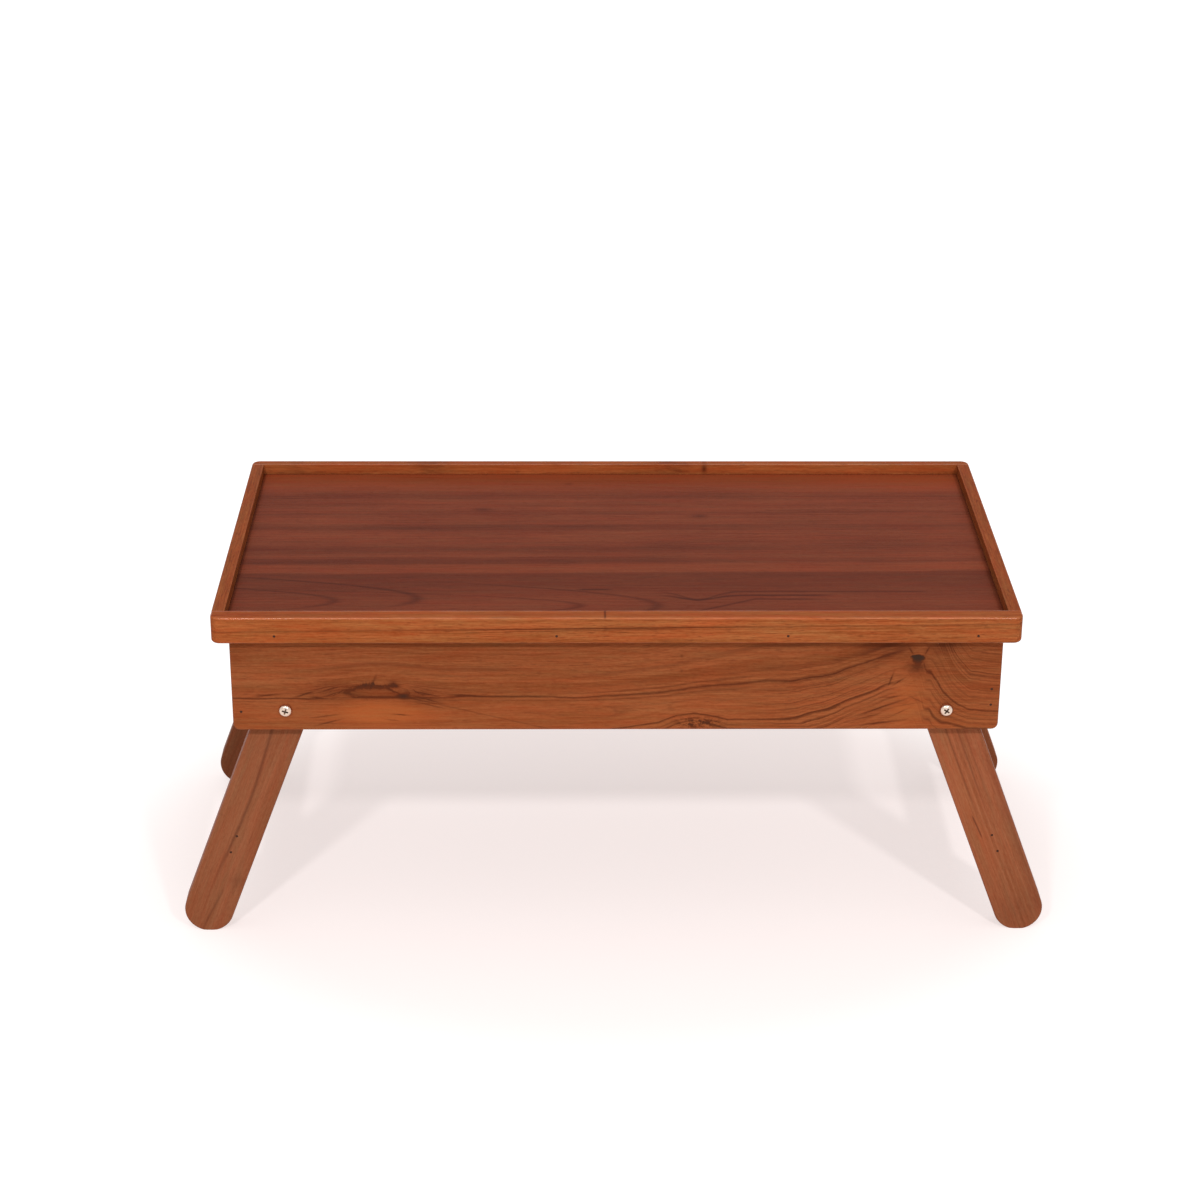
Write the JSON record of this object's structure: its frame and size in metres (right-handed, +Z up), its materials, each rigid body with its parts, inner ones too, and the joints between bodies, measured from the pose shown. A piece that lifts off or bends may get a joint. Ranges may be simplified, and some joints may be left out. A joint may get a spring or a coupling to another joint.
{
  "type": "folding lap desk",
  "caption": "Wooden lap desk: rimmed tray on an apron box, with splayed leg frames that turn on screws through the box and fold up inside it.",
  "frame": {"origin": "on the floor, under the middle of the tray", "axes": "+X along the tray to the right as seen from the front, -Y towards the front, +Z up"},
  "size_m": [0.6704, 0.32, 0.28],
  "materials": {
    "panel_wood": "red-brown board with long straight grain, satin lacquer",
    "strip_wood": "orange-brown hardwood, satin lacquer",
    "apron_wood": "figured brown hardwood with knots, satin lacquer",
    "leg_wood": "brown hardwood, grain along the leg, satin lacquer",
    "inner_wood": "plain planed hardwood, thin lacquer",
    "nickel_steel": "bright nickel plate",
    "zinc_steel": "zinc plate",
    "nail_steel": "dark nail heads"
  },
  "bodies": {
    "desk": {"tray_panel": "panel_wood", "front_strip": "strip_wood", "back_strip": "strip_wood", "left_strip": "strip_wood", "right_strip": "strip_wood", "front_apron": "apron_wood", "back_apron": "apron_wood", "left_apron": "apron_wood", "right_apron": "apron_wood", "front_batten": "inner_wood", "back_batten": "inner_wood", "left_batten": "inner_wood", "right_batten": "inner_wood", "batten_screws": "zinc_steel", "strip_nails": "nail_steel", "apron_nails": "nail_steel", "front_left_pivot_screw": "nickel_steel", "front_left_spacer": "zinc_steel", "front_left_washer": "zinc_steel", "front_left_lock_nut": "zinc_steel", "front_right_pivot_screw": "nickel_steel", "front_right_spacer": "zinc_steel", "front_right_washer": "zinc_steel", "front_right_lock_nut": "zinc_steel", "rear_left_pivot_screw": "nickel_steel", "rear_left_spacer": "zinc_steel", "rear_left_washer": "zinc_steel", "rear_left_lock_nut": "zinc_steel", "rear_right_pivot_screw": "nickel_steel", "rear_right_spacer": "zinc_steel", "rear_right_washer": "zinc_steel", "rear_right_lock_nut": "zinc_steel"},
    "left_leg_frame": {"left_front_leg": "leg_wood", "left_rear_leg": "leg_wood", "left_stretcher": "leg_wood", "left_leg_nails": "nail_steel"},
    "right_leg_frame": {"right_front_leg": "leg_wood", "right_rear_leg": "leg_wood", "right_stretcher": "leg_wood", "right_leg_nails": "nail_steel"}
  },
  "joints": [
    {"name": "left_legs_fold", "type": "hinge", "parent": "desk", "child": "left_leg_frame", "pos_m": [-0.2482, 0, 0.199], "axis": [0, -1, 0], "range_deg": [0, 118.3]},
    {"name": "right_legs_fold", "type": "hinge", "parent": "desk", "child": "right_leg_frame", "pos_m": [0.2482, 0, 0.199], "axis": [0, 1, 0], "range_deg": [0, 118.3]}
  ]
}
